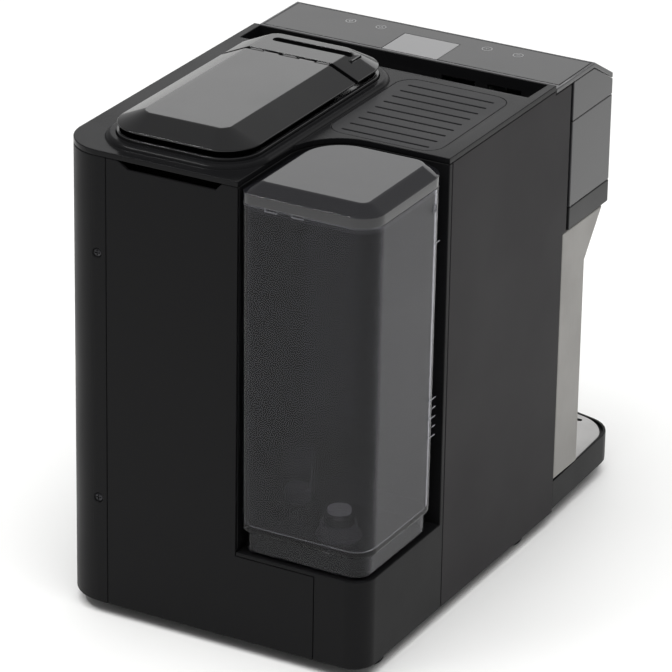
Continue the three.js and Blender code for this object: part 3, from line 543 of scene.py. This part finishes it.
class MACHINE_OT_casing(MachineOperator):
    """Side panels, rear panel, tank bay, base plate, feet and screws"""
    bl_idname = "machine.casing"
    bl_label = "Casing"

    def build(self, scene):
        refine("side_panel_left", "side_skin_left", "casing", "side", "side_grey", 0.7)
        refine("side_panel_right", "side_skin_right", "casing", "casing", "case_black", 0.7)
        refine("rear_panel", "rear_skin", "casing", "casing", "case_black", 0.6)
        refine("tank_bay", "tank_bay_skin", "casing", "casing", "case_black", 0.8)
        self.base()
        self.feet()
        self.screws()
        self.gland()

    def base(self):
        """Floor with ribs round the edge and two fields of vent slots."""
        (x0, x1), (y0, y1), (bottom, top) = spans("base_plate")
        plan = [(x0, y0, 4), (x1, y0, 4), (x1, y1, 30), (x0, y1, 14)]
        plate = to_object(loft([(plan, bottom), (plan, top)]), "base_floor")
        carve(plate, loft([(shrink(plan, 5), bottom - 0.4), (shrink(plan, 6), bottom + 0.4),
                           (shrink(plan, 7), bottom + 1.2)]))
        cutter = bmesh.new()
        for row in range(9):
            for x in (-48, 12):
                y = 20 + row * 9
                add_block(cutter, rectangle(x, x + 36, y, y + 4, 1.95), 0, 20, 4)
        lathe(cutter, [(0, 0), (11.4, 0), (11.4, 20), (0, 20)], (*GLAND, 0))
        carve(plate, cutter)
        soften(plate, 0.4)
        settle(plate, "casing", "casing", "case_black", "base_plate")

    def feet(self):
        """Turned rubber feet: a rounded pad with a ring groove and a hollow sole."""
        profile = [(0, 1.5), (9.2, 1.5), (10, 0.6), (10.8, 0), (15.2, 0), (15.8, 0.3), (16.1, 0.9), (16.5, 4.6),
                   (16.0, 5.0), (16.0, 5.8), (16.6, 6.2), (17, 8.1), (16.4, 8.7), (0, 8.7)]
        for place in ("front_left", "front_right", "rear_left", "rear_right"):
            bm = bmesh.new()
            lathe(bm, profile, (*centre(f"foot_{place}")[:2], 0), steps=48)
            settle(to_object(bm, f"foot_pad_{place}"), "casing", "rubber", "rubber", f"foot_{place}")

    def screws(self):
        """Pan-head screws with a cross recess."""
        profile = [(0, -12.6), (1.0, -12.6), (1.5, -11.6), (1.5, -1.1), (3.1, -1.0), (3.1, -0.75), (2.7, -0.35),
                   (1.6, -0.08), (0, 0)]
        long, thin = 2.1, 0.42  # half the length and width of each arm of the cross
        for number in (1, 2):
            node = f"case_screw_{number}"
            x, _, z = centre(node)
            face = spans(node)[1][1]
            bm = bmesh.new()
            lathe(bm, profile, (x, face, z), axis=(0, 1, 0), steps=32)
            screw = to_object(bm, f"screw_{number}")
            for across, up in ((long, thin), (thin, long)):
                arm = bmesh.new()
                block(arm, (x - across, face - 0.9, z - up), (x + across, face + 1.4, z + up))
                carve(screw, arm)
            settle(screw, "casing", "screw", "screw_steel", node)

    def gland(self):
        """Cord gland: flange, ribbed sleeve and bore."""
        bm = bmesh.new()
        sleeve = [(3.6, 18), (3.6, 6.4), (12.6, 6.4), (13.6, 6.8), (14, 7.6), (14, 8.7), (11, 8.7)]
        for z in (10.4, 12.4, 14.4):
            sleeve += [(11, z - 0.5), (10.2, z - 0.3), (10.2, z + 0.3), (11, z + 0.5)]
        sleeve += [(11, 17.4), (10.4, 18)]
        lathe(bm, sleeve, (*GLAND, 0), ring=True)
        settle(to_object(bm, "cord_sleeve"), "casing", "rubber", "rubber", "cord_gland")


class MACHINE_OT_top(MachineOperator):
    """Top cover with its collar and gutter, the slotted cup shelf and the pod bin"""
    bl_idname = "machine.top"
    bl_label = "Top cover and shelf"

    def build(self, scene):
        refine("top_cover", "cover_skin", "casing", "cover", "case_black", 0.5)
        refine("pod_bin", "pod_bin_tub", "casing", "bin", "smoked_gloss", 0.6)
        refine("bin_rim", "pod_bin_rim", "casing", "bin", "smoked_gloss", 0.5)
        self.shelf(scene.machine_shelf)

    def shelf(self, size):
        """Shelf plate with rounded edge and long slots with broken edges."""
        (x0, x1), (y0, y1), (bottom, top) = spans("cup_shelf_grille")
        plan = rectangle(x0, x1, y0, y1, 13.7)
        plate = to_object(loft([(plan, bottom), (plan, top)]), "shelf_plate")
        cutter = bmesh.new()
        half = size.slot_width / MM / 2
        for number in range(size.slots):
            y = y0 + 12.4 + number * size.pitch / MM
            slot = rectangle(x0 + 8.2, x1 - 9.2, y - half, y + half, half * 0.99)
            add_block(cutter, slot, bottom - 8, top + 10, 5)
        carve(plate, cutter)
        soften(plate, 0.3)
        settle(plate, "casing", "shelf", "shelf_grey", "cup_shelf_grille")


class MACHINE_OT_bin_lid(MachineOperator):
    """Hinged lid of the pod bin, its fixed front piece and the hinge rod"""
    bl_idname = "machine.bin_lid"
    bl_label = "Bin lid"

    def build(self, scene):
        self.lid()
        self.front()
        x0, x1 = spans("lid_hinge_rod")[0]
        length = x1 - x0
        bm = bmesh.new()
        lathe(bm, [(0, 0), (0.7, 0), (1.0, 0.3), (1.0, length - 0.3), (0.7, length), (0, length)],
              (x0, HINGE_Y, HINGE_Z), axis=(1, 0, 0), steps=24)
        settle(to_object(bm, "hinge_rod"), "casing", "bright", "screw_steel", "lid_hinge_rod")

    def shell(self, y, keep_rear, name):
        """Half of the lid as a hollow shell with its end wall."""
        outer = lid_blank(LID_BOTTOM, LID_BOTTOM + 1.5, LID_TOP, 0, rounded=True)
        cut_at(outer, y, keep_rear)
        half = to_object(outer, name)
        hollow = lid_blank(LID_BOTTOM - 14.5, LID_BOTTOM - 0.1, LID_TOP - 2.4, 2.2)
        cut_at(hollow, y + (LID_END_WALL if keep_rear else -LID_END_WALL), keep_rear)
        carve(half, hollow)
        return half

    def lugs(self, half, places, half_length, reach):
        """Joins the hinge lugs, each a barrel on the hinge line and a web from it to the end wall, and then bores
        them for the rod."""
        near, far = sorted((HINGE_Y, reach))
        for x in places:
            barrel = bmesh.new()
            lathe(barrel, [(0, -half_length), (LUG_RADIUS, -half_length), (LUG_RADIUS, half_length),
                           (0, half_length)], (x, HINGE_Y, HINGE_Z), axis=(1, 0, 0), steps=28)
            carve(half, barrel, "UNION")
            web = bmesh.new()
            block(web, (x - half_length, near, HINGE_Z - 1.88), (x + half_length, far, HINGE_Z + 1.88))
            carve(half, web, "UNION")
        bore = bmesh.new()
        lathe(bore, [(0, -10), (1.25, -10), (1.25, 110), (0, 110)], (-10, HINGE_Y, HINGE_Z), axis=(1, 0, 0),
              steps=20)
        carve(half, bore)

    def lid(self):
        """The part that opens."""
        half = self.shell(HINGE_Y + LID_GAP, True, "bin_lid_shell")
        self.lugs(half, (26, 54), 6, HINGE_Y + LUG_REACH)
        soften(half, 0.35, angle=50)
        settle(half, "bin_lid", "bin_lid", "smoked_gloss", "bin_lid")

    def front(self):
        """The fixed piece with its recessed groove and the fine vents in the groove's floor."""
        half = self.shell(HINGE_Y - LID_GAP, False, "bin_front_shell")
        pad = bmesh.new()
        block(pad, (0, 0.5, 358), (70, 13.5, 363.5))
        carve(half, pad, "UNION")
        groove = rectangle(4, 66, 3.5, 10.5, 3.45)
        carve(half, loft([(groove, 360.6), (groove, 380)], 8))
        vents = bmesh.new()
        for number in range(14):
            x = 9 + number * 4
            block(vents, (x - 0.45, 5.0, 359.9), (x + 0.45, 9.0, 361))
        carve(half, vents)
        self.lugs(half, (14, 40, 66), 5, HINGE_Y - LUG_REACH)
        soften(half, 0.3, angle=50)
        settle(half, "casing", "bin_lid", "smoked_gloss", "bin_front_cover")


class MACHINE_OT_tank(MachineOperator):
    """Smoked water tank with its outlet valve, seal, float, cage and lid"""
    bl_idname = "machine.tank"
    bl_label = "Water tank"

    def build(self, scene):
        size = scene.machine_tank
        self.body(size)
        self.lid(size)
        self.marks()
        self.works()

    def body(self, size):
        """Walls with draft, thick floor, stepped-back skirt, outlet spigot and float cage."""
        wall, draft, step = size.wall / MM, size.draft / MM, size.foot_step / MM
        tank = to_object(loft([
            (tank_plan(draft + 2.6), 92.0), (tank_plan(draft + 1.0), 92.4), (tank_plan(draft + 0.2), 93.4),
            (tank_plan(draft), 95.0), (tank_plan(0), 330.6), (tank_plan(0.4), 331.0)], 14), "tank_walls")
        carve(tank, loft([
            (tank_plan(draft + wall + 3), 95.0), (tank_plan(draft + wall + 0.9), 96.0),
            (tank_plan(draft + wall), 98.0), (tank_plan(wall), 330.6), (tank_plan(wall - 0.7), 331.3)], 14))
        outer, inner = step + draft, step + draft + wall
        carve(tank, loft([(tank_plan(outer + 0.9), 76.7), (tank_plan(outer + 0.2), 77.3), (tank_plan(outer), 78.4),
                          (tank_plan(outer), 93.2)], 14), "UNION")
        carve(tank, loft([(tank_plan(inner - 0.6), 76.2), (tank_plan(inner), 77.2), (tank_plan(inner), 91.0)], 14))
        spigot = bmesh.new()
        lathe(spigot, [(0, 78), (9.6, 78), (10, 78.4), (10, 80.2), (8.8, 80.2), (8.8, 83.8), (10, 83.8), (10, 90),
                       (13, 93.5), (0, 93.5)], (*VALVE, 0))
        carve(tank, spigot, "UNION")
        cage = bmesh.new()
        lathe(cage, [(0, 94), (12, 94), (12, 139.6), (11.6, 140), (10.4, 140), (10, 139.6), (10, 95.1), (0, 95.1)],
              (*FLOAT, 0))
        carve(tank, cage, "UNION")
        bore = bmesh.new()
        lathe(bore, [(0, 70), (7.5, 70), (7.5, 90), (4.2, 91), (4.2, 110), (0, 110)], (*VALVE, 0))
        carve(tank, bore)
        window = bmesh.new()
        x, y = FLOAT
        block(window, (x - 14, y - 2.2, 104), (x + 11.5, y + 2.2, 134))
        carve(tank, window)
        notches = bmesh.new()
        for x in (-66, -46):
            block(notches, (x - 4.5, TANK_Y[1] - 0.9, 329.2), (x + 4.5, TANK_Y[1] + 1, 331.6))
        carve(tank, notches)
        settle(tank, "tank", "tank", "smoked_clear", "water_tank")

    def lid(self, size):
        """Lid with an upright band, a rounded shoulder, sloped flanks and a flat crown."""
        seat = TANK_LID_SEAT
        rim = seat + size.lid_band / MM
        lid = to_object(loft([
            (tank_plan(11.6), 342.8), (tank_plan(4.8), 339.2), (tank_plan(4.6), 338.4), (tank_plan(4.6), 326.4),
            (tank_plan(4.2), 326.0), (tank_plan(3.3), 326.0), (tank_plan(2.9), 326.4), (tank_plan(2.9), seat),
            (tank_plan(0.3), seat), (tank_plan(0), seat + 0.3), (tank_plan(0), rim - 0.1),
            (tank_plan(0.25), rim + 0.4),
            (tank_plan(0.8), rim + 0.7), (tank_plan(1.6), rim + 0.95), (tank_plan(9.4), 344.3),
            (tank_plan(10.4), 344.75), (tank_plan(11.8), 345.0)], 14), "tank_lid_shell")
        settle(lid, "tank_lid", "tank_lid", "smoked_gloss", "tank_lid")

    def marks(self):
        """Moulded level marks on the side wall and a ring near the top."""
        bm = bmesh.new()
        for z, length in ((292.0, 9.0), (178.0, 9.0), (171.0, 5.0), (164.0, 9.0), (157.0, 5.0), (150.0, 9.0)):
            block(bm, (TANK_X[0] - 0.1, 112.0, z - 0.35), (TANK_X[0] + 0.25, 112.0 + length, z + 0.35))
        settle(to_object(bm, "tank_level_marks"), "tank", "tank", "smoked_clear")
        ring = bmesh.new()
        lathe(ring, [(2.2, -0.4), (3.2, -0.4), (3.2, 0.3), (2.9, 0.5), (2.5, 0.5), (2.2, 0.3)],
              (TANK_X[0], 121.0, 318.0), axis=(-1, 0, 0), steps=32, ring=True)
        settle(to_object(ring, "tank_ring_mark"), "tank", "tank", "smoked_clear")

    def works(self):
        """Outlet plunger, seal ring and level float."""
        bm = bmesh.new()
        lathe(bm, [(0, 80.6), (2.6, 80.6), (3.2, 81.2), (3.2, 95.3), (8, 95.3), (8, 97.6), (7.2, 98.4), (3.2, 98.4),
                   (3.0, 99), (0, 99)], (*VALVE, 0))
        settle(to_object(bm, "outlet_plunger"), "tank_valve", "white", "inner_white", "tank_valve")
        ring = bmesh.new()
        start = Vector((*VALVE, 82.0)) * MM
        made = bmesh.ops.create_circle(ring, segments=14, radius=0.78 * MM)
        bmesh.ops.rotate(ring, verts=made["verts"], matrix=Matrix.Rotation(math.pi / 2, 3, "X"))
        bmesh.ops.translate(ring, verts=made["verts"], vec=start + Vector((9.9 * MM, 0, 0)))
        bmesh.ops.spin(ring, geom=list(ring.verts) + list(ring.edges), cent=start, axis=(0, 0, 1),
                       angle=math.tau, steps=48, use_merge=True, use_duplicate=False)
        bmesh.ops.remove_doubles(ring, verts=list(ring.verts), dist=1e-6)
        settle(to_object(ring, "outlet_ring"), "tank", "rubber", "rubber", "tank_seal")
        cup = bmesh.new()
        lathe(cup, [(0, 95.6), (7.2, 95.6), (8.9, 96.6), (9.2, 98), (9.2, 100.2), (8.8, 100.6), (8.8, 101.4),
                    (9.2, 101.8), (9.2, 105.4), (8.4, 106.6), (7.4, 107), (0, 107)], (*FLOAT, 0))
        settle(to_object(cup, "float_cup"), "tank_float", "white", "inner_white", "tank_float")


class MACHINE_OT_head(MachineOperator):
    """Head bands, control panel with touch icons and display, and the pod drawer"""
    bl_idname = "machine.head"
    bl_label = "Head and panel"

    def build(self, scene):
        refine("head_lower_band", "head_band_low", "casing", "band", "side_grey", 0.7)
        refine("head_body", "head_shell", "casing", "head", "gloss_grey", 0.7)
        refine("head_upper_frame", "head_frame_top", "casing", "head", "gloss_grey", 0.6)
        refine("control_panel", "panel_frame", "casing", "head", "gloss_grey", 0.8, 3)
        refine("touch_panel", "touch_plate", "casing", "touch", "gloss_grey", 0.25)
        refine("display", "display_window", "casing", "display", "display_grey", 0.25)
        refine("pod_drawer", "pod_drawer_shell", "pod_drawer", "head", "gloss_grey", 0.5)
        self.icons(scene.machine_panel)

    def icons(self, size):
        """Four printed rings with plain glyphs: small cup, large cup, water drop bar and switch."""
        line, ring = size.line / MM, size.ring / MM
        level = spans("touch_panel")[2][1]
        y = -106.8
        for name, x in (("water", -67.0), ("small_cup", -42.5), ("large_cup", 42.5), ("switch", 67.0)):
            bm = bmesh.new()
            self.ring(bm, x, y, ring, line, level)
            if name == "switch":
                self.ring(bm, x, y, ring * 0.42, line, level)
                self.bar(bm, (x - line / 2, y - ring * 0.15), (x + line / 2, y + ring * 0.6), level)
            elif name == "water":
                for row in (-0.3, 0.0, 0.3):
                    self.bar(bm, (x - ring * 0.42, y + row * ring - line / 3),
                             (x + ring * 0.42, y + row * ring + line / 3), level)
            else:
                half = ring * (0.26 if name == "small_cup" else 0.4)
                self.bar(bm, (x - half, y - half), (x + half, y - half + line), level)
                self.bar(bm, (x - half, y - half), (x - half + line, y + half), level)
                self.bar(bm, (x + half - line, y - half), (x + half, y + half), level)
                self.bar(bm, (x - half, y + half - line), (x + half, y + half), level)
            settle(to_object(bm, f"icon_{name}"), "casing", "print", "display_grey")

    def ring(self, bm, x, y, radius, line, level):
        """Thin raised ring of ink."""
        made = bmesh.ops.create_circle(bm, cap_ends=True, segments=40, radius=radius * MM)
        bmesh.ops.translate(bm, verts=made["verts"], vec=Vector((x, y, level)) * MM)
        face = made["verts"][0].link_faces[0]
        bmesh.ops.inset_region(bm, faces=[face], thickness=line * MM, use_boundary=True, use_even_offset=True)
        band = [f for f in bm.faces if f != face and any(v in made["verts"] for v in f.verts)]
        bmesh.ops.delete(bm, geom=[face], context="FACES")
        raised = bmesh.ops.extrude_face_region(bm, geom=band)["geom"]
        bmesh.ops.translate(bm, verts=[g for g in raised if isinstance(g, bmesh.types.BMVert)],
                            vec=(0, 0, 0.06 * MM))

    def bar(self, bm, low, high, level):
        """Thin raised bar of ink."""
        block(bm, (*low, level - 0.02), (*high, level + 0.06))


class MACHINE_OT_cup_bay(MachineOperator):
    """Silver column, spout housing, height-adjustable spout, drip tray, drip plate, float and container"""
    bl_idname = "machine.cup_bay"
    bl_label = "Cup bay"

    def build(self, scene):
        refine("bay_column", "column_skin", "casing", "silver", "silver", 0.9, 3)
        refine("spout_housing", "spout_cover", "casing", "casing", "case_black", 0.8, 3)
        refine("drip_tray", "tray_tub", "tray", "casing", "case_black", 0.45)
        refine("pod_waste_container", "waste_box", "tray", "casing", "case_black", 0.8)
        self.spout()
        self.plate()
        self.tray_float()

    def spout(self):
        """Sliding block with two turned nozzles and grip ribs on both sides."""
        plan = rectangle(-28, 28, -178.5, -158, 4)
        hollow = rectangle(-24, 24, -175, -161.5, 2)
        nozzle_y = -168.2
        block_part = to_object(loft([(shrink(plan, 1.2), 184), (shrink(plan, 0.4), 184.3), (plan, 185.2),
                                     (plan, 250)], 8), "spout_block")
        carve(block_part, loft([(hollow, 196), (hollow, 251)], 8))
        for x in (-15, 15):
            nozzle = bmesh.new()
            lathe(nozzle, [(0, 172), (4.1, 172), (4.5, 172.4), (5.2, 177), (7, 185), (7, 187), (0, 187)],
                  (x, nozzle_y, 0), steps=40)
            carve(block_part, nozzle, "UNION")
            bore = bmesh.new()
            lathe(bore, [(0, 160), (2.9, 160), (2.9, 172.2), (2.4, 173), (2.4, 200), (0, 200)], (x, nozzle_y, 0),
                  steps=24)
            carve(block_part, bore)
        grips = bmesh.new()
        for side in (-1, 1):
            for number in range(4):
                z = 186.6 + number * 2.6
                x0, x1 = sorted((side * 27.4, side * 28.6))
                block(grips, (x0, -172, z - 0.4), (x1, -164, z + 0.4))
        carve(block_part, grips)
        soften(block_part, 0.4, angle=50)
        settle(block_part, "spout", "casing", "case_black", "coffee_spout")

    def plate(self):
        """Brushed plate with slots and a hole for the float, cut to the tray's bowed plan."""
        plate = to_object(loft([(tray_plan(2.8, -117.8), 31.6), (tray_plan(2.8, -117.8), 33.1),
                                (tray_plan(3.3, -118.3), 33.5)]), "plate_grille")
        cutter = bmesh.new()
        for row in range(5):
            for column in range(6):
                x, y = -92 + column * 32, -186 + row * 13
                if row < 4 or column not in (2, 3):
                    add_block(cutter, rectangle(x, x + 24, y, y + 4, 1.95), 20, 60, 5)
        lathe(cutter, [(0, 20), (6, 20), (6, 60), (0, 60)], (*TRAY_FLOAT, 0), steps=32)
        carve(plate, cutter)
        settle(plate, "drip_plate", "steel", "plate_steel", "drip_plate")

    def tray_float(self):
        """Red float whose tip shows through the plate when the tray is full."""
        bm = bmesh.new()
        lathe(bm, [(0, 14.6), (4.6, 14.6), (5.4, 15.4), (5.4, 21.2), (4.6, 22), (3, 22), (3, 33.6), (2.2, 34.4),
                   (0, 34.6)], (*TRAY_FLOAT, 0), steps=32)
        settle(to_object(bm, "float_tip"), "tray_float", "red", "float_red", "tray_float")


class MACHINE_OT_inner_works(MachineOperator):
    """Deck, pump, heater block, flow meter, press, boards and hoses"""
    bl_idname = "machine.inner_works"
    bl_label = "Inner works"

    PIECES = (
        ("inner_frame", "deck_frame", "casing", "aluminium", "aluminium"),
        ("pump", "pump_body", "casing", "brass", "brass"),
        ("pump_mount", "pump_cradle", "casing", "rubber", "rubber"),
        ("flow_meter", "flow_meter_body", "casing", "white", "inner_white"),
        ("thermoblock", "heater_block", "casing", "aluminium", "aluminium"),
        ("tank_coupling", "coupling_seat", "casing", "white", "inner_white"),
        ("level_sensor", "level_sensor_body", "casing", "white", "inner_white"),
        ("coffee_funnel", "funnel_body", "casing", "white", "inner_white"),
        ("brew_bridge", "press_bridge", "casing", "aluminium", "aluminium"),
        ("brew_piston", "press_piston", "brew_piston", "bright", "screw_steel"),
        ("touch_board", "touch_electronics", "casing", "board", "board"),
        ("control_board", "control_electronics", "casing", "board", "board"),
        ("power_board", "power_electronics", "casing", "board", "board"),
    )

    def build(self, scene):
        for node, name, body, material, slot in self.PIECES:
            refine(node, name, body, material, slot, 0.4)
        for node in ("suction_hose", "pump_hose", "boiler_hose", "brew_hose"):
            refine(node, f"{node}_line", "casing", "hose", "hose_clear", 0.3, angle=70)


class MACHINE_OT_stage(MachineOperator):
    """Pale floor, soft lights and the camera"""
    bl_idname = "machine.stage"
    bl_label = "Stage"

    # Camera: azimuth from the rear face towards the tank side, elevation, roll, place and lens.
    AZIMUTH, ELEVATION, ROLL = math.radians(28.578), math.radians(24.128), math.radians(0.979)
    PLACE = (-1.38282, 2.56903, 1.45812)
    LENS, SENSOR = 242.31, 36.0

    def build(self, scene):
        self.camera()
        self.floor()
        self.lights(scene.machine_studio)

    def camera(self):
        """Camera at the viewing angle, with no shift."""
        a, e = self.AZIMUTH, self.ELEVATION
        back = Vector((-math.sin(a) * math.cos(e), math.cos(a) * math.cos(e), math.sin(e)))
        right = (-back).cross(Vector((0, 0, 1))).normalized()
        up = right.cross(-back)
        turned_right = math.cos(self.ROLL) * right + math.sin(self.ROLL) * up
        turned_up = -math.sin(self.ROLL) * right + math.cos(self.ROLL) * up
        data = bpy.data.cameras.new("camera")
        data.lens, data.sensor_width = self.LENS, self.SENSOR
        camera = bpy.data.objects.new("camera", data)
        bpy.context.scene.collection.objects.link(camera)
        camera.matrix_world = Matrix.Translation(self.PLACE) @ Matrix(
            (turned_right, turned_up, back)).transposed().to_4x4()
        bpy.context.scene.camera = camera

    def floor(self):
        """Plain pale floor."""
        bm = bmesh.new()
        bmesh.ops.create_grid(bm, x_segments=2, y_segments=2, size=6.0)
        floor = to_object(bm, "floor")
        floor.data.materials.append(moulded("pale_painted_floor", "f4f4f3", 0.6, 3.0, 0.02, spread=0.0))

    def lights(self, studio):
        """Even room light, a large soft light above, a wide low one beyond the front and a strip for the edges."""
        world = bpy.data.worlds.new("room")
        world.use_nodes = True
        world.node_tree.nodes["Background"].inputs[0].default_value = (1, 1, 1, 1)
        world.node_tree.nodes["Background"].inputs[1].default_value = studio.world
        bpy.context.scene.world = world
        bpy.context.scene.view_settings.view_transform = "Standard"
        for name, place, size, power, mirrored in (
                ("key", (-0.4, 0.5, 2.9), (3.2, 3.2), studio.key, False),
                ("front", (0.1, -3.0, 1.35), (5.0, 1.1), studio.front, True),
                ("strip", (0.96, 0.9, 1.9), (1.3, 0.03), studio.strip, True)):
            data = bpy.data.lights.new(name, "AREA")
            data.shape, data.size, data.size_y, data.energy = "RECTANGLE", *size, power
            light = bpy.data.objects.new(name, data)
            bpy.context.scene.collection.objects.link(light)
            light.location = place
            light.rotation_euler = (Vector((0, 0, 0.3)) - Vector(place)).to_track_quat("-Z", "Y").to_euler()
            light.visible_glossy = mirrored


class MACHINE_PT_panel(bpy.types.Panel):
    """Lists the settings and the operators"""
    bl_label = "Pod coffee machine"
    bl_idname = "MACHINE_PT_panel"
    bl_space_type = "VIEW_3D"
    bl_region_type = "UI"
    bl_category = "Coffee machine"

    def draw(self, context):
        for group, place in GROUPS.items():
            box = self.layout.box()
            box.label(text=group.__doc__)
            settings = getattr(context.scene, place)
            for name in group.__annotations__:
                box.prop(settings, name)
        for operator in OPERATORS:
            self.layout.operator(operator.bl_idname)


GROUPS = {FinishSettings: "machine_finish", TankSettings: "machine_tank", ShelfSettings: "machine_shelf",
          PanelSettings: "machine_panel", StudioSettings: "machine_studio"}
OPERATORS = (MACHINE_OT_finishes, MACHINE_OT_casing, MACHINE_OT_top, MACHINE_OT_bin_lid, MACHINE_OT_tank,
             MACHINE_OT_head, MACHINE_OT_cup_bay, MACHINE_OT_inner_works, MACHINE_OT_stage)


def register():
    for group, place in GROUPS.items():
        bpy.utils.register_class(group)
        setattr(bpy.types.Scene, place, PointerProperty(type=group))
    for operator in OPERATORS:
        bpy.utils.register_class(operator)
    bpy.utils.register_class(MACHINE_PT_panel)


def unregister():
    bpy.utils.unregister_class(MACHINE_PT_panel)
    for operator in reversed(OPERATORS):
        bpy.utils.unregister_class(operator)
    for group, place in reversed(list(GROUPS.items())):
        delattr(bpy.types.Scene, place)
        bpy.utils.unregister_class(group)


def main():
    register()
    for operator in OPERATORS:
        group, name = operator.bl_idname.split(".")
        getattr(getattr(bpy.ops, group), name)()


if __name__ == "__main__":
    main()
